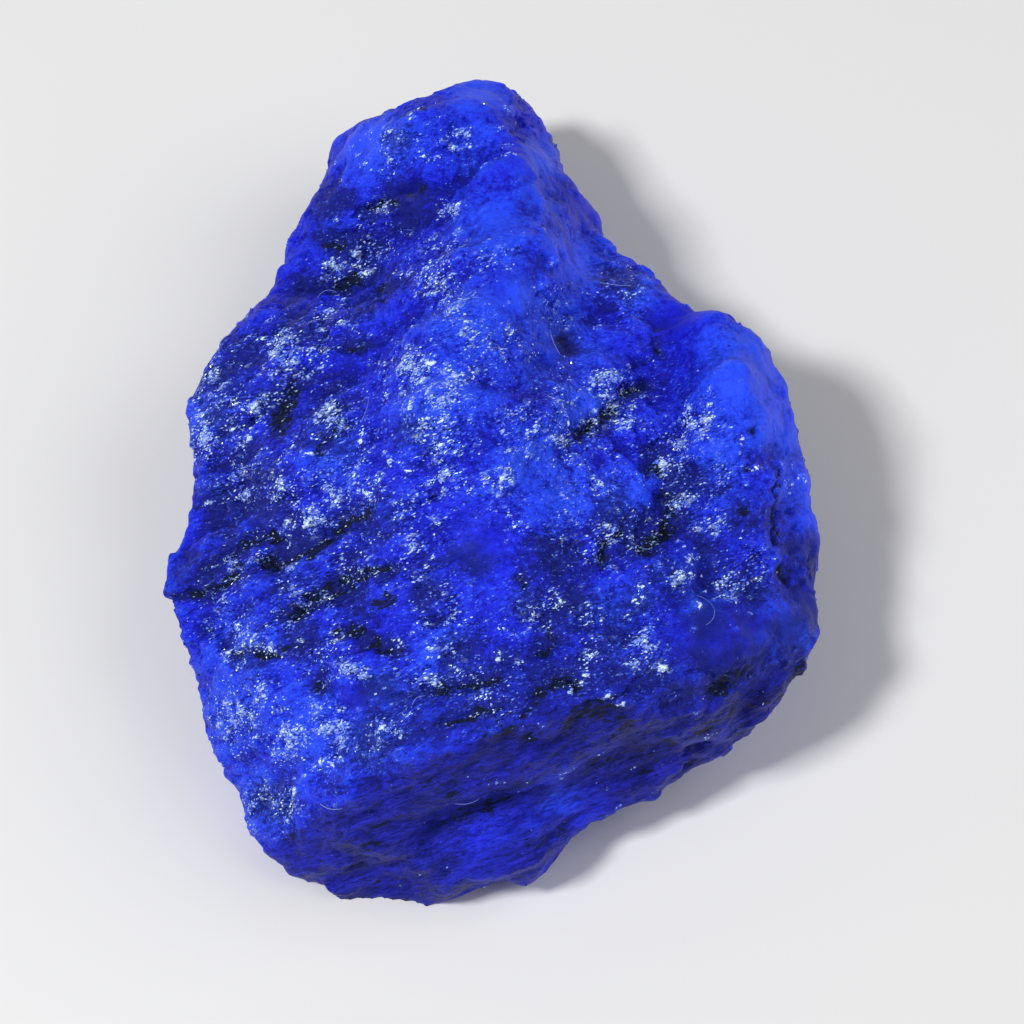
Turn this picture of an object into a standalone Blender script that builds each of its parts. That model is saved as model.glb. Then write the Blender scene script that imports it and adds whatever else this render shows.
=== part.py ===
"""Rough sapphire: one natural lump of blue corundum, lying on its flattest side.

Metres, +Z up. The narrow head of the stone points along +Y, and its steep broken front faces -Y.
The lump is a union of convex blocks, bounded by the planes it broke along. Their union is
remeshed and its edges are worn round. Named swells, ridges and grooves and the layered grain are
then raised on it, and the underside is cut flat where the stone rests.
"""

import math

import bmesh
import bpy
from mathutils import Vector, geometry, noise

MM = 0.001

NAME = "sapphire_stone"

# The step of the remeshed skin, and the wear of its edges. WEAR_LOSS puts back, all over, about
# what the wear takes off. Lengths are millimetres up to the last step of build_stone.
MESH_STEP = 1.28
WEAR_ROUNDS = 2
WEAR_FACTOR = 0.5
WEAR_LOSS = 0.45

# Corners of the blocks, in millimetres. Every block reaches well into its neighbours.
UNDERSIDE = -2.5
BLOCKS = {
    "body": [
        (-15, -19, UNDERSIDE), (-11, -25.5, UNDERSIDE), (3, -25, UNDERSIDE), (11, -17, UNDERSIDE),
        (14, -6, UNDERSIDE), (13, 7, UNDERSIDE), (5, 20, UNDERSIDE), (-9, 22, UNDERSIDE),
        (-16, 6, UNDERSIDE), (-17, -9, UNDERSIDE),
        (-23.5, -7, 7.5), (-22, 6, 9), (-17, 19, 10), (9, 23.5, 12), (22, -5, 8.5), (20, 11, 11),
        (19, -15, 9.5), (-21.5, -15, 4),
        (-2, 9, 23), (-3, -1, 24), (5, -3, 21.5), (-7, -22.5, 17.5), (6, -19.5, 19),
        (16, -15, 17), (-16, -10, 14.5), (-15, 9, 15), (4, 19, 18), (-10, 17, 14.5),
    ],
    "head": [
        (-12, 16, UNDERSIDE), (-6, 33, UNDERSIDE), (2, 33, UNDERSIDE), (7, 17, UNDERSIDE),
        (-15, 31, 9), (-13, 36.8, 8.5), (-5.5, 38.6, 8.5), (0.2, 42.0, 9), (3.6, 39.5, 9.5),
        (6.4, 30, 11), (-16.2, 23, 9.5), (9.5, 23.5, 11), (10, 18, 12), (-16, 17, 9),
        (-7, 33, 16), (-10, 29, 14), (1, 32, 17.5), (-2.5, 36.5, 15), (3, 24, 18.5), (-3, 18, 19),
    ],
    "ridge": [
        (0.7, 30.4, 18.2), (3, 29.5, 14.5), (-1.5, 29, 13.5), (-4.5, 25.5, 14.5), (2.6, 24.5, 18.8),
        (-1, 21, 20), (-6.5, 20, 17), (4.5, 19, 19), (-6, 12, 20),
        (3, 12, 22.5), (-7, 4, 21), (-3.5, 4, 24), (2.5, 3, 23.8), (5, -5, 21.5), (-5, -5, 22.5),
        (7, 22, 12), (10, 12, 13), (-10, 14, 12), (-10, -2, 14),
    ],
    "shoulder": [
        (14.2, 17.6, 13.5), (19.2, 15.2, 14.5), (21.8, 10.5, 14.5), (23.4, 4, 13), (24.4, -1, 11),
        (24.2, -8, 9), (23.2, -12.5, 9.5), (16, 12, 18.5), (18.5, 4, 20), (19, -3, 19),
        (19.5, -10, 15.5), (12, 9, 14), (12, -8, 15), (13, 8, 4), (17, -9, 3), (20, -14, 7),
    ],
    "front": [
        (-15.6, -22.3, 2), (-13.5, -25.3, UNDERSIDE), (-5, -27, UNDERSIDE), (1.5, -25.6, UNDERSIDE),
        (7, -20.4, 4), (-5, -26.8, 5), (3, -25.6, 6.5), (-9, -25, 12), (-6.5, -24.4, 17),
        (-1.5, -22.8, 19), (8, -20.5, 19), (15, -17.5, 18), (18.6, -15.5, 15), (21.7, -13.4, 11),
        (21.8, -15, 7.5), (17, -18.2, 5.5), (13.2, -19.2, 5.2), (0, -10, 18), (-15, -14, 10),
        (12, -8, 12),
    ],
    "left_front": [
        (-16.2, -22.9, 2), (-18.7, -19.8, 1.5), (-21.2, -16, 2.5), (-22.4, -12, 4.5),
        (-16, -18, UNDERSIDE),
        (-11, -23.5, 12), (-15, -18, 13), (-17, -11, 14), (-8, -18, 17), (-10, -10, 8),
    ],
    "left": [
        (-25, -5.5, 8.5), (-23.8, -9, 6.5), (-22, -1, 9.5), (-23.2, 9, 11.5), (-21.4, 3.5, 7),
        (-21.2, 14, 12.5), (-17.8, 18.6, 8.5), (-19, -3, 14.5), (-18, 8, 15), (-12, 0, 19),
        (-12, 14, 15), (-14, -4, 3), (-14, 8, 3), (-20, -10, 10),
    ],
}

# The relief is drawn on a sheet that leans back from the front of the stone. A place on it is
# (across, up the sheet), in millimetres from the origin.
SHEET_LEAN = math.radians(58.0)
SHEET_UP = Vector((0.0, math.sin(SHEET_LEAN), math.cos(SHEET_LEAN)))
SHEET_FACING = Vector((0.0, -math.cos(SHEET_LEAN), math.sin(SHEET_LEAN)))
SHEET_FADE = (0.02, 0.35)

# Ridges and grooves: (height, half width, the line they follow). A groove has a negative height.
LINES = {
    "head_valley": (-2.8, 1.8, [(-1.8, 32.6), (-3.8, 30.6), (-7.3, 28.7), (-11.0, 26.8), (-12.4, 24.1)]),
    "head_brow": (1.5, 1.7, [(-2.4, 35.0), (-5.0, 33.2), (-8.4, 31.6), (-12.4, 29.9)]),
    "main_ridge": (0.9, 2.8, [(0.7, 34.0), (1.0, 30.1), (0.1, 24.1), (-0.9, 18.6), (-2.7, 15.4)]),
    "flank_trough": (-1.4, 2.2, [(7.5, 26.4), (8.1, 22.3), (6.1, 17.8), (3.8, 15.6)]),
    "crease": (-1.1, 1.1, [(5.4, 10.7), (7.8, 11.6), (10.9, 13.6), (13.0, 15.4)]),
    "trough": (
        -1.2, 1.7,
        [(11.5, 9.1), (13.4, 6.9), (12.9, 4.4), (9.9, 2.9), (7.0, 1.5), (4.4, -0.2), (3.6, -5.0)],
    ),
    "shoulder_edge": (1.1, 1.6, [(17.2, 16.6), (16.2, 12.5), (15.6, 8.8), (16.1, 4.7)]),
    "front_crest": (
        0.9, 1.7,
        [(-16.4, -18.3), (-11.6, -14.5), (-6.4, -11.5), (-1.5, -8.8), (4.7, -7.1), (10.3, -5.6),
         (14.6, -4.8), (19.1, -4.6), (23.3, -4.4)],
    ),
    "front_groove": (-1.2, 1.2, [(-3.8, -17.6), (0.5, -16.2), (4.9, -15.4), (10.7, -13.4), (14.3, -12.0)]),
    "front_ledge": (0.9, 1.3, [(-4.6, -20.1), (0.5, -19.0), (4.9, -17.4), (7.8, -15.8)]),
    "streak_low": (-0.8, 1.0, [(-19.1, -5.1), (-16.1, -4.7), (-11.6, -3.9), (-7.2, -3.6)]),
    "streak_middle": (-0.9, 1.1, [(-17.0, -2.9), (-12.5, -1.1), (-6.6, 1.2), (-3.0, 2.2)]),
    "streak_high": (-0.9, 1.1, [(-19.8, 1.8), (-14.1, 2.9), (-10.4, 4.7)]),
    "streak_upper": (-1.0, 1.3, [(-18.3, 11.5), (-12.2, 14.8), (-8.5, 18.2)]),
}

# Swells and hollows: (height, radius, place on the sheet).
SWELLS = {
    "head_pit": (-1.5, 1.7, (1.8, 35.8)),
    "head_knob": (1.3, 4.5, (-5.5, 35.5)),
    "head_pocket": (-1.4, 2.8, (-10.5, 24.0)),
    "upper_lobe": (0.8, 2.6, (-4.9, 15.2)),
    "middle_lobe": (0.8, 2.6, (-1.8, 12.0)),
    "lower_lobe": (1.0, 2.0, (0.9, 8.0)),
    "right_lobe": (0.7, 2.0, (4.2, 13.2)),
    "plateau_bump": (0.8, 1.5, (12.6, 1.2)),
    "low_bump": (0.7, 1.7, (10.5, -3.2)),
    "right_bulge": (0.7, 2.4, (20.6, -2.6)),
    "right_hollow": (-0.9, 2.2, (21.2, 1.0)),
    "left_knob_low": (0.9, 1.7, (-13.0, 5.6)),
    "left_knob_middle": (0.9, 2.0, (-16.0, 9.0)),
    "left_knob_high": (0.8, 1.8, (-15.0, 16.5)),
    "left_valley": (-1.4, 2.8, (-19.5, 6.0)),
    "left_notch": (-1.6, 2.4, (-22.5, 4.6)),
}

# Layers in the crystal. They dip towards the front and show as low ledges on every side.
LAYER_NORMAL = Vector((-0.37, 0.78, 0.50)).normalized()
LAYER_PITCH = 5.2
LAYER_HEIGHT = 0.6
LAYER_DROP = 0.38
LAYER_WANDER = 0.45
LAYER_WANDER_SIZE = 11.0

# Break facets: the skin is shared out among cells, flattened along the layers, and each tilts its
# own way, so that low ledges run between them.
FACET_SIZE = Vector((7.5, 5.5, 3.6))
FACET_TILT = 0.3
LAYER_LINE = LAYER_NORMAL.cross(Vector((0.0, 0.0, 1.0))).normalized()
LAYER_SLOPE = LAYER_NORMAL.cross(LAYER_LINE)

# Irregular lumps on all sides: (size, height), and pits: (spacing, radius as a share, depth).
LUMPS = ((9.0, 0.8), (4.2, 0.4))
PIT_SPACING = 6.5
PIT_SHARE = 0.32
PIT_DEPTH = 0.8

# The smallest edge that the cut along the floor may leave.
SHORTEST_EDGE = 0.08

BLUE = (0.016, 0.024, 0.62, 1.0)
ROUGHNESS = 0.34


def clear_scene():
    for obj in list(bpy.data.objects):
        bpy.data.objects.remove(obj, do_unlink=True)


def eased(value, low, high):
    """0 below low, 1 above high, and a smooth rise between them."""
    share = min(1.0, max(0.0, (value - low) / (high - low)))
    return share * share * (3.0 - 2.0 * share)


def add_block(shape, corners):
    """Adds the convex hull of the corners."""
    points = [shape.verts.new(corner) for corner in corners]
    hull = bmesh.ops.convex_hull(shape, input=points)
    inside = {item for item in hull["geom_interior"] if isinstance(item, bmesh.types.BMVert)}
    bmesh.ops.delete(shape, geom=list(inside), context="VERTS")


def fused(shape, step):
    """One skin around everything in the shape, as a new shape with faces about one step wide."""
    mesh = bpy.data.meshes.new("blocks")
    shape.to_mesh(mesh)
    shape.free()
    lump = bpy.data.objects.new("blocks", mesh)
    bpy.context.scene.collection.objects.link(lump)
    skin = lump.modifiers.new("skin", "REMESH")
    skin.mode = "VOXEL"
    skin.voxel_size = step
    graph = bpy.context.evaluated_depsgraph_get()
    result = bmesh.new()
    result.from_mesh(lump.evaluated_get(graph).data)
    bpy.data.objects.remove(lump, do_unlink=True)
    bpy.data.meshes.remove(mesh)
    return result


def wear(shape, rounds):
    for _ in range(rounds):
        bmesh.ops.smooth_vert(
            shape, verts=shape.verts, factor=WEAR_FACTOR, use_axis_x=True, use_axis_y=True, use_axis_z=True
        )


def line_distance(place, line):
    """How far a place on the sheet lies from a line through several points."""
    nearest = math.inf
    for start, end in zip(line, line[1:]):
        foot, share = geometry.intersect_point_line(place, start, end)
        foot = Vector(start).lerp(Vector(end), min(1.0, max(0.0, share)))
        nearest = min(nearest, (place - foot.xy).length)
    return nearest


def sheet_relief(point, normal):
    """The height of the drawn ridges, grooves, swells and hollows at a point of the skin."""
    shown = eased(normal.dot(SHEET_FACING), *SHEET_FADE)
    if shown == 0.0:
        return 0.0
    place = Vector((point.x, point.dot(SHEET_UP)))
    height = 0.0
    for rise, half_width, line in LINES.values():
        height += rise * math.exp(-((line_distance(place, line) / half_width) ** 2))
    for rise, radius, centre in SWELLS.values():
        height += rise * math.exp(-(((place - Vector(centre)).length / radius) ** 2))
    return shown * height


def layer_relief(point):
    """Ledges along the layers: a long rise and a short drop, strong in some places and weak in others."""
    wander = LAYER_WANDER * noise.noise(point / LAYER_WANDER_SIZE)
    along = (point.dot(LAYER_NORMAL) / LAYER_PITCH + wander) % 1.0
    if along < 1.0 - LAYER_DROP:
        profile = along / (1.0 - LAYER_DROP)
    else:
        profile = (1.0 - along) / LAYER_DROP
    strength = eased(noise.noise(point / LAYER_WANDER_SIZE + Vector((7.3, 1.9, 4.1))), -0.35, 0.35)
    return LAYER_HEIGHT * strength * (profile - 0.5)


def facet_relief(point):
    """The tilt of the break facet that a point lies on."""
    layered = Vector((point.dot(LAYER_LINE), point.dot(LAYER_SLOPE), point.dot(LAYER_NORMAL)))
    scaled = Vector(value / size for value, size in zip(layered, FACET_SIZE))
    cell = noise.voronoi(scaled)[1][0]
    tilt = noise.cell_vector(cell * 97.0) * 2.0 - Vector((1.0, 1.0, 1.0))
    return FACET_TILT * (scaled - cell).dot(tilt) * FACET_SIZE.z


def lump_relief(point):
    height = sum(rise * noise.noise(point / size) for size, rise in LUMPS)
    nearest = noise.voronoi(point / PIT_SPACING)[0][0]
    return height - PIT_DEPTH * (1.0 - eased(nearest, 0.0, PIT_SHARE))


def raise_relief(shape):
    """Moves every point of the skin along its normal by the relief there."""
    shape.normal_update()
    moves = []
    for vert in shape.verts:
        height = sheet_relief(vert.co, vert.normal)
        height += layer_relief(vert.co) + facet_relief(vert.co) + lump_relief(vert.co)
        moves.append(vert.normal * (WEAR_LOSS + height))
    for vert, move in zip(shape.verts, moves):
        vert.co += move


def cut_underside(shape):
    """Cuts the shape flat at the floor and closes the cut with one face."""
    everything = shape.verts[:] + shape.edges[:] + shape.faces[:]
    bmesh.ops.bisect_plane(
        shape, geom=everything, dist=SHORTEST_EDGE, plane_co=(0, 0, 0), plane_no=(0, 0, 1), clear_inner=True
    )
    rim = [edge for edge in shape.edges if edge.is_boundary]
    for vert in {vert for edge in rim for vert in edge.verts}:
        vert.co.z = 0.0
    bmesh.ops.edgenet_fill(shape, edges=rim)
    bmesh.ops.remove_doubles(shape, verts=shape.verts, dist=SHORTEST_EDGE)


def centre_on_origin(shape):
    """Puts the middle of the stone's box over the origin, with its underside on the floor."""
    for axis in (0, 1):
        reach = [vert.co[axis] for vert in shape.verts]
        middle = (min(reach) + max(reach)) / 2
        for vert in shape.verts:
            vert.co[axis] -= middle


def sapphire_material():
    material = bpy.data.materials.new("sapphire")
    material.use_nodes = True
    shader = material.node_tree.nodes["Principled BSDF"]
    shader.inputs["Base Color"].default_value = BLUE
    shader.inputs["Roughness"].default_value = ROUGHNESS
    shader.inputs["Metallic"].default_value = 0.0
    return material


def build_stone():
    blocks = bmesh.new()
    for corners in BLOCKS.values():
        add_block(blocks, corners)
    shape = fused(blocks, MESH_STEP)
    wear(shape, WEAR_ROUNDS)
    raise_relief(shape)
    wear(shape, 1)
    cut_underside(shape)
    centre_on_origin(shape)
    bmesh.ops.scale(shape, vec=(MM, MM, MM), verts=shape.verts)
    bmesh.ops.recalc_face_normals(shape, faces=shape.faces)
    mesh = bpy.data.meshes.new(NAME)
    shape.to_mesh(mesh)
    shape.free()
    mesh.materials.append(sapphire_material())
    stone = bpy.data.objects.new(NAME, mesh)
    home = bpy.data.collections.new(NAME)
    bpy.context.scene.collection.children.link(home)
    home.objects.link(stone)
    return stone


clear_scene()
build_stone()
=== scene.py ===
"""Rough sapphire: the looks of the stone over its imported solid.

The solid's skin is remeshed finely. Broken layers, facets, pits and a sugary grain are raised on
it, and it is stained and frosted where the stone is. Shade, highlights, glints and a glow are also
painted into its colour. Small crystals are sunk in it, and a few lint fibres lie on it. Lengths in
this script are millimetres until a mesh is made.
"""

import math

import bmesh
import bpy
import numpy as np
from mathutils import Matrix, Vector, kdtree, noise


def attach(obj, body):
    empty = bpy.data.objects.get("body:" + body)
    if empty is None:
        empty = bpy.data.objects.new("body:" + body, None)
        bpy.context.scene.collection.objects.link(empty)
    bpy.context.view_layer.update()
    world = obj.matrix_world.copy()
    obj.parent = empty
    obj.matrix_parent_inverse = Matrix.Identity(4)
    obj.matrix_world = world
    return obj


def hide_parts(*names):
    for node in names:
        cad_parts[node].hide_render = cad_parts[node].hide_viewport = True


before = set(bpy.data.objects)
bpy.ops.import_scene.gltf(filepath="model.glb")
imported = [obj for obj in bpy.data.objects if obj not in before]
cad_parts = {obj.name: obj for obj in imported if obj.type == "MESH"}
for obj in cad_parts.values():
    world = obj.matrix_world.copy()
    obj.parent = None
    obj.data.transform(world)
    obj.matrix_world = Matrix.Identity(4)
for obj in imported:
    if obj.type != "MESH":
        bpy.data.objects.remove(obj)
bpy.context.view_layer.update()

MM = 0.001
NODE = "sapphire_stone"
SEED = 11

# The fine skin: its mesh step, rounds of wear, and the bands above the floor that close and fade.
SKIN_STEP = 0.292
WEAR_ROUNDS = 10
CREST_ROUNDS = 24
FLOOR_BAND = 0.06
RIM_FADE = 1.2
FLAT_SHADED_FROST = 0.35

# Sizes of the skin's patterns, along, down and across the layers.
STAIN_BAND_SIZE = (5.0, 3.2, 0.9)
KNOT_SIZE = (1.35, 1.1, 0.85)
LEDGE_SIZE = (4.5, 3.5, 1.6)
LAYER_LINE_SIZE = (3.4, 2.4, 0.42)
WIDE_FACETS = (3.2, 2.4, 1.3)
NARROW_FACETS = (1.2, 1.0, 0.7)
LEDGE_PITCH = 2.1
PIT_PITCH = 2.1
CELL_SPREAD = 97.0

# Heights of the skin's relief.
SWELL_HEIGHT = 0.26
LUMP_HEIGHT = 0.20
LEDGE_HEIGHT = 0.46
LAYER_LINE_HEIGHT = 0.05
CLUMP_HEIGHT = 0.16
RIM_HEIGHT = 0.20
STAIN_DEPTH = 0.26
KNOT_HEIGHT = 0.27
PIT_DEPTH = 0.16
SUGAR_HEIGHT = 0.07
SUGAR_JITTER = 0.035

# The drawing sheet leans back from the front of the stone. A place on it is (across, up the
# sheet), in millimetres from its home, which is given in the stone's own frame.
SHEET_HOME = np.array([0.28, -6.59, 0.0])
SHEET_LEAN = math.radians(58.0)
SHEET_UP = np.array([0.0, math.sin(SHEET_LEAN), math.cos(SHEET_LEAN)])
SHEET_FACING = np.array([0.0, -math.cos(SHEET_LEAN), math.sin(SHEET_LEAN)])
SHEET_FADE = (0.0, 0.3)

# Layers in the crystal: the normal of the layers, and two directions that lie in them.
LAYER_NORMAL = np.array([-0.37, 0.78, 0.50]) / np.linalg.norm([-0.37, 0.78, 0.50])
LAYER_LINE = np.cross(LAYER_NORMAL, [0.0, 0.0, 1.0])
LAYER_LINE /= np.linalg.norm(LAYER_LINE)
LAYER_SLOPE = np.cross(LAYER_NORMAL, LAYER_LINE)

# Black mineral stains: (half width, the line they follow on the sheet).
STAINS = [
    (0.5, [(-9.8, 29.0), (-7.8, 29.6), (-5.8, 30.4)]), (0.5, [(-13.2, 26.3), (-12.2, 26.4)]),
    (0.8, [(-12.1, 23.0), (-11.0, 23.7)]), (0.4, [(-8.6, 22.9), (-8.4, 21.4)]),
    (0.5, [(-10.9, 17.6), (-9.8, 18.0)]), (0.8, [(-14.8, 15.4), (-15.4, 13.4), (-16.0, 11.5)]),
    (0.5, [(-11.2, 11.9), (-11.6, 10.8), (-12.6, 9.9)]), (0.4, [(-21.8, 1.2), (-20.8, 1.5)]),
    (0.5, [(-19.2, 2.2), (-17.6, 3.2), (-15.8, 3.4)]),
    (0.4, [(-23.6, -1.1), (-20.2, -0.2), (-18.5, 1.2)]),
    (0.6, [(-16.7, 1.4), (-14.0, 2.0), (-12.2, 3.0), (-10.8, 4.4), (-9.0, 5.4)]),
    (0.9, [(-14.5, -2.3), (-13.0, -1.2), (-11.3, -0.2), (-9.9, 0.8)]),
    (0.6, [(-9.2, 0.9), (-7.5, 1.3)]), (0.4, [(-8.6, -1.3), (-7.1, -1.0)]),
    (0.5, [(-11.0, -3.4), (-9.3, -3.1)]), (0.5, [(-8.9, -3.7), (-7.7, -4.4), (-6.9, -4.5)]),
    (0.6, [(-18.8, -5.2), (-17.3, -4.9), (-15.8, -5.1)]), (0.4, [(-15.1, -4.6), (-14.1, -4.3)]),
    (0.5, [(-12.5, -7.3), (-12.1, -6.4)]), (0.4, [(-3.7, -7.2), (-1.9, -6.6), (0.3, -6.2)]),
    (0.7, [(2.2, -8.8), (3.5, -7.3), (4.8, -6.3), (6.0, -7.0)]),
    (0.8, [(-0.1, -10.6), (1.3, -10.1), (2.8, -10.7)]),
    (1.1, [(5.3, -9.4), (7.6, -8.3), (9.2, -9.4), (10.1, -10.5)]),
    (0.4, [(-3.2, -9.5), (-1.5, -8.8), (0.3, -8.3)]),
    (0.5, [(3.7, -2.7), (4.0, -3.8), (3.5, -4.7)]), (0.5, [(2.1, 0.6), (2.7, 0.2)]),
    (0.5, [(6.0, 10.8), (7.8, 11.9), (8.7, 12.9)]), (0.4, [(9.7, 14.1), (11.0, 14.6)]),
    (0.5, [(11.9, 9.1), (11.8, 8.1)]), (0.8, [(12.8, 6.2), (13.0, 4.7), (12.1, 3.6), (10.8, 2.5)]),
    (0.4, [(9.5, 4.1), (8.2, 3.2), (7.6, 1.9)]), (0.4, [(5.1, 18.3), (5.4, 17.6)]),
    (0.3, [(12.2, 17.8), (12.4, 17.5)]),
    (1.2, [(14.7, -10.6), (16.2, -9.5), (18.1, -9.0), (21.1, -7.8), (22.5, -6.1)]),
    (0.7, [(15.5, -7.8), (17.0, -6.5), (17.9, -5.9)]),
    (0.8, [(7.0, -12.7), (9.2, -12.1), (11.5, -12.1), (12.7, -11.4)]),
    (0.6, [(10.2, -13.8), (11.2, -13.4)]), (0.7, [(13.9, -13.7), (15.5, -13.1)]),
    (0.8, [(-3.8, -16.9), (-1.6, -16.1), (0.5, -15.0), (2.8, -14.2)]),
    (0.7, [(-4.1, -15.2), (-2.8, -14.4), (-2.9, -13.8)]),
    (0.5, [(-10.3, -19.3), (-8.6, -18.5), (-7.3, -18.2)]), (0.4, [(-8.4, -17.1), (-6.9, -16.5)]),
    (0.6, [(2.9, -18.9), (4.1, -18.3), (4.9, -17.7)]), (0.5, [(-14.9, -18.7), (-14.4, -18.1)]),
    (0.3, [(21.1, 1.3), (21.5, 0.2)]), (0.15, [(20.9, 8.4), (20.7, 6.2), (20.5, 4.6), (20.6, 3.0)]),
    (0.22, [(19.1, 11.3), (19.2, 11.1)]), (0.27, [(18.2, 5.5), (18.6, 5.3)]),
    (0.15, [(18.5, 8.4), (18.7, 8.5)]),
]

# Sugary, frosted patches: (radius, across, up the sheet).
FROST = [
    (0.6, -2.3, 34.6), (0.5, 1.1, 33.4), (0.7, -8.5, 29.3), (0.8, -3.2, 28.5), (1.4, -4.2, 22.8),
    (0.8, -12.5, 24.2), (1.4, -16.3, 18.0), (1.1, -13.0, 17.5), (0.9, -15.6, 16.1),
    (1.5, -21.6, 10.7), (1.1, -17.6, 13.0), (0.9, -11.8, 12.6), (1.5, -5.7, 15.6),
    (1.5, -3.4, 13.7), (0.9, -1.2, 15.6), (0.9, -1.7, 17.9), (1.1, -3.3, 11.2), (1.1, -12.9, 4.7),
    (0.9, -15.8, 6.9), (0.8, -11.5, 6.2), (1.0, 0.8, 7.2), (1.1, -3.4, 8.3), (0.8, 4.9, 10.6),
    (1.5, 15.4, 11.7), (0.9, 13.7, 10.6), (0.9, 17.0, 8.4), (0.8, 16.2, 4.4), (0.8, 10.1, 12.2),
    (0.9, 8.2, 15.1), (0.8, 13.5, 0.4), (1.1, 17.5, -0.3), (0.8, 10.4, -3.9), (0.8, 11.8, -5.7),
    (0.9, 6.6, -2.0), (2.0, -18.7, -9.8), (1.4, -14.6, -11.2), (1.7, -11.1, -9.7),
    (1.1, -7.2, -10.0), (1.2, -14.9, -15.8), (0.8, -4.8, -6.1), (0.8, -9.7, -6.1),
    (0.9, -16.7, -7.7), (1.1, 22.6, 7.7),
]

# The largest pale crystals: (radius, across, up the sheet).
CRYSTALS = [
    (0.55, -17.9, 13.1), (0.5, -22.0, 10.9), (0.4, -19.7, 11.6), (0.45, -18.2, 10.7),
    (0.4, -22.1, 12.5), (0.45, -11.9, 12.9), (0.4, -12.7, 12.3), (0.5, -9.6, 10.6),
    (0.5, -16.1, 6.4), (0.45, -15.5, 7.5), (0.4, -18.6, 6.3), (0.75, -13.3, 4.8), (0.5, -15.2, 4.3),
    (0.4, -15.0, 3.0), (0.5, -11.5, 6.0), (0.5, -9.1, 6.5), (0.45, -10.0, 7.9), (0.45, -7.5, 9.0),
    (0.5, -6.0, 13.0), (0.6, -3.8, 10.1), (0.5, -4.9, 11.6), (0.35, -13.3, 9.6), (0.4, 6.5, -6.0),
    (0.6, 11.9, -5.5), (0.5, 10.7, -3.8), (0.4, 1.8, -5.2), (0.35, 5.5, -7.1), (0.35, 8.2, -7.5),
    (0.4, 9.1, -8.2), (0.4, -15.1, -10.4), (0.45, -7.8, -9.7), (0.4, -12.3, -12.6),
    (0.4, -11.4, -12.7), (0.4, -5.9, -8.8), (0.45, -14.3, -14.9), (0.4, -14.3, -15.8),
    (0.35, -0.4, -7.5), (0.6, -4.7, 16.1), (0.5, -3.3, 15.7), (0.5, -3.5, 11.8), (0.5, 7.8, 15.5),
    (0.4, 8.5, 13.1), (0.6, 12.5, 8.9), (0.5, 13.5, 5.8), (0.55, 13.5, 0.5), (0.4, 10.2, -1.0),
    (0.35, 8.3, 4.3), (0.6, 0.7, 7.6), (0.45, -6.0, 8.4), (0.45, -16.3, 17.8), (0.4, -13.3, 17.0),
    (0.35, -14.8, 18.4), (0.4, -11.5, 21.7), (0.4, -12.8, 24.7), (0.45, -10.2, 24.2),
    (0.35, -11.1, 25.7), (0.4, -9.0, 29.1), (0.35, -10.6, 19.2), (0.4, 14.2, 1.8),
    (0.35, 16.3, 0.1), (0.35, 17.5, -1.2), (0.4, 14.8, -1.3), (0.35, 10.6, 0.0), (0.35, 4.8, -1.0),
    (0.4, 6.9, -4.8), (0.35, -19.4, -5.1), (0.35, -17.6, -4.0), (0.4, -16.0, -4.7),
    (0.35, -16.7, -7.6), (0.35, -6.6, -3.8), (0.3, -4.4, -4.8), (0.35, -2.6, -5.7),
    (0.4, 0.5, -4.9), (0.35, -1.9, 33.7), (0.3, 0.5, 35.3), (0.3, -4.3, 33.0), (0.35, 19.3, 8.4),
    (0.35, 18.2, 10.6), (0.3, -10.8, 33.6), (0.3, -6.5, 36.2), (0.3, -8.3, 32.7), (0.4, -5.5, 33.0),
    (0.4, -2.2, 34.9), (0.3, -4.2, 34.2), (0.35, 1.0, 37.2), (0.3, -5.9, 36.9), (0.35, -3.1, 33.8),
    (0.25, -12.0, 31.6), (0.3, -9.7, 35.2), (0.25, -10.3, 32.8), (0.3, -8.2, 35.0),
    (0.25, -11.2, 34.4),
]

# Wider sugary zones, less frosted: (radius, across, up the sheet).
SUGAR = [
    (3.4, -20.6, 15.0), (3.0, -15.8, 16.5), (2.2, -12.5, 19.2), (3.0, -18.9, 8.4),
    (3.0, -14.3, 7.7), (2.0, -13.7, 5.1), (3.0, -10.7, 11.4), (2.8, -9.8, 7.7), (3.4, -6.1, 14.2),
    (3.0, -3.8, 10.5), (2.4, -1.6, 6.9), (2.6, 0.5, 17.2), (2.8, 2.0, 11.2), (3.2, 5.7, 12.8),
    (3.0, 9.3, 13.5), (3.0, 7.1, 8.4), (3.2, 7.0, 4.0), (2.6, 10.7, 3.3), (2.8, 12.6, 8.7),
    (2.2, 14.4, 6.2), (2.4, 15.2, 12.1), (2.4, 17.9, 1.1), (2.8, 10.4, -4.4), (2.2, 6.9, -5.2),
    (2.8, -4.4, -5.9), (2.4, -0.1, -7.2), (3.0, -17.5, -9.0), (3.0, -13.1, -11.0),
    (2.6, -8.6, -10.8), (2.6, -16.9, -16.1), (1.8, -3.5, 34.7), (2.2, -8.6, 34.0), (2.0, 0.0, 23.6),
    (2.0, 4.5, 20.5), (2.6, -9.7, 26.1), (2.6, -4.1, 24.4), (2.6, 7.4, 24.1), (2.0, 10.4, 21.5),
    (2.6, -19.2, -2.6), (2.6, -2.4, 20.2), (2.6, -18.1, 1.4), (2.8, -13.9, -1.1), (2.4, -9.5, 2.1),
    (2.8, -17.8, -4.0), (2.6, -11.6, -4.9), (2.4, -5.9, 1.5), (3.0, -4.5, 5.4), (2.6, -0.5, 4.7),
    (2.6, -3.0, -1.6), (2.2, 2.7, -1.7),
]

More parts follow.
